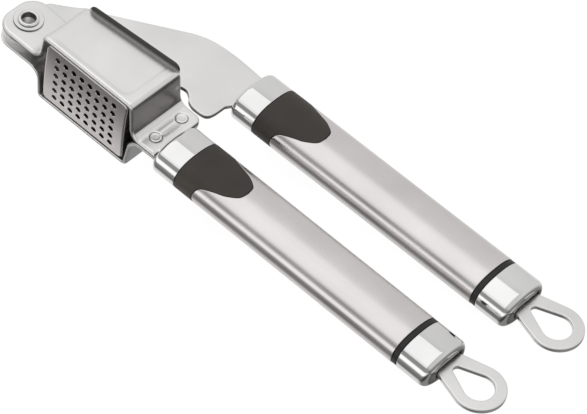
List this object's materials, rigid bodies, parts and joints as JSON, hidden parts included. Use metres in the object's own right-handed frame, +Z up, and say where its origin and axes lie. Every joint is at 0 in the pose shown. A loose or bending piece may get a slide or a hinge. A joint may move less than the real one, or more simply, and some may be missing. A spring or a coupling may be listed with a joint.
{
  "type": "garlic press",
  "caption": "Hand-held lever press: a perforated drop-in basket in a folded steel housing, a hinged arm with a swivelling plunger, and two padded steel handles with hanging loops.",
  "frame": {"origin": "middle of the press's bounding box in plan, at the height of its lowest edge", "axes": "+X runs along the handles from the hinge to the hanging loops, +Y from the basket handle to the arm handle, +Z up along the hinge axis"},
  "size_m": [0.2198, 0.058, 0.0356],
  "materials": {
    "satin_steel": "satin stainless steel sheet",
    "sieve_steel": "satin stainless steel, slightly darker",
    "polished_steel": "mirror polished stainless steel",
    "brushed_steel": "brushed along the handle",
    "grip_plastic": "soft matte black",
    "ring_plastic": "satin black",
    "core_plastic": "moulded dark grey"
  },
  "bodies": {
    "housing": {"upper_shell": "satin_steel", "lower_shell": "satin_steel", "sieve_basket": "sieve_steel", "flange_rivet_front": "satin_steel", "flange_rivet_back": "satin_steel", "pivot_rivet": "satin_steel", "upper_pivot_washer": "satin_steel", "lower_pivot_washer": "satin_steel", "upper_spacer_washer": "satin_steel", "lower_spacer_washer": "satin_steel", "basket_handle_ferrule": "polished_steel", "basket_handle_grip": "grip_plastic", "basket_handle_sleeve": "brushed_steel", "basket_handle_ring": "ring_plastic", "basket_handle_cap": "polished_steel", "basket_handle_loop": "satin_steel", "basket_handle_core": "core_plastic"},
    "arm": {"arm_plate": "satin_steel", "arm_handle_ferrule": "polished_steel", "arm_handle_grip": "grip_plastic", "arm_handle_sleeve": "brushed_steel", "arm_handle_ring": "ring_plastic", "arm_handle_cap": "polished_steel", "arm_handle_loop": "satin_steel", "arm_handle_core": "core_plastic"},
    "plunger": {"plunger_foot": "satin_steel", "plunger_bracket": "satin_steel", "plunger_pin": "satin_steel"}
  },
  "joints": [
    {"name": "arm_hinge", "type": "hinge", "parent": "housing", "child": "arm", "pos_m": [-0.10253, -0.01742, 0.0178], "axis": [0, 0, 1], "range_deg": [0, 110]},
    {"name": "plunger_pivot", "type": "hinge", "parent": "arm", "child": "plunger", "pos_m": [-0.06653, -0.01562, 0.0178], "axis": [0, 0, 1], "range_deg": [-22, 0]}
  ],
  "couplings": [
    {"joint": "plunger_pivot", "follows": "arm_hinge", "ratio": -0.2}
  ]
}
